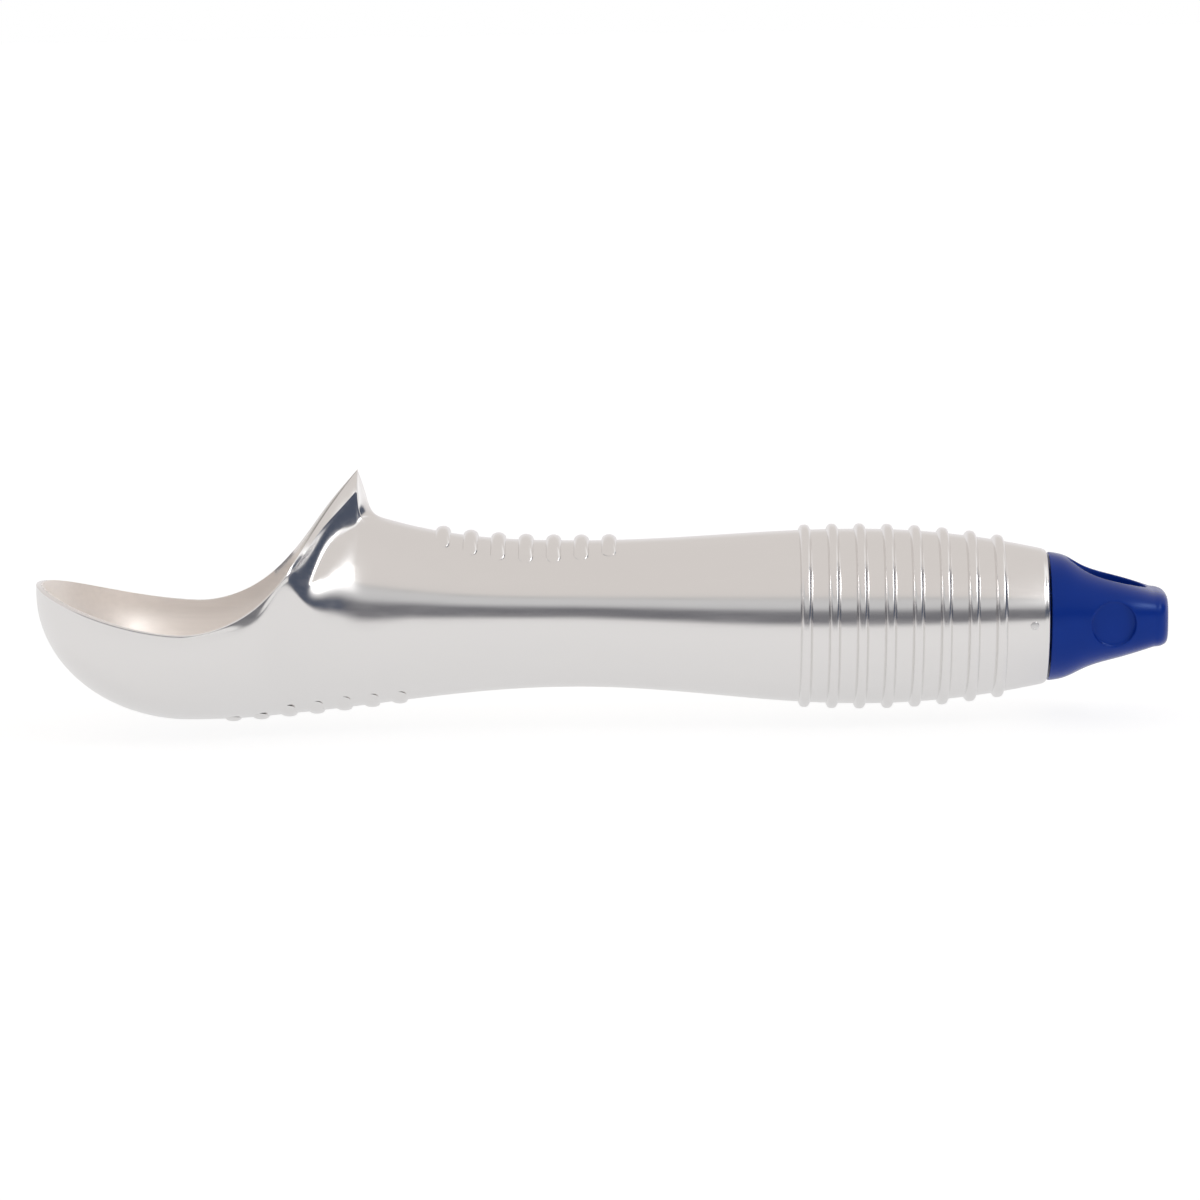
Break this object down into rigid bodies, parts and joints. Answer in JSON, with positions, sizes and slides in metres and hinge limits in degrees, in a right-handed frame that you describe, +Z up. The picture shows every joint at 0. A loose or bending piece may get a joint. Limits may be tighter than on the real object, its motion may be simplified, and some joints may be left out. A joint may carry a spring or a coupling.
{
  "type": "ice cream scoop",
  "caption": "Ice cream scoop: one-piece polished aluminium bowl and hollow liquid-filled handle with finger nubs and grip rings, closed by a blue plastic end cap with a hang hole.",
  "frame": {"origin": "on the table under the middle of the scoop as it lies on its bowl", "axes": "X along the handle from the bowl tip to the cap, Y across the bowl, Z up out of the open bowl"},
  "size_m": [0.184, 0.043, 0.0409],
  "materials": {
    "polished_aluminium": "polished casting with a fine satin bowl",
    "heat_fluid": "clear liquid",
    "plug_aluminium": "turned",
    "seal_rubber": "moulded",
    "blue_plastic": "semi-gloss moulded blue",
    "pin_steel": "plain"
  },
  "bodies": {
    "root": {"scoop_casting": "polished_aluminium", "heat_fluid": "heat_fluid", "seal_plug": "plug_aluminium", "seal_ring": "seal_rubber", "end_cap": "blue_plastic", "cap_pin": "pin_steel"}
  },
  "joints": []
}
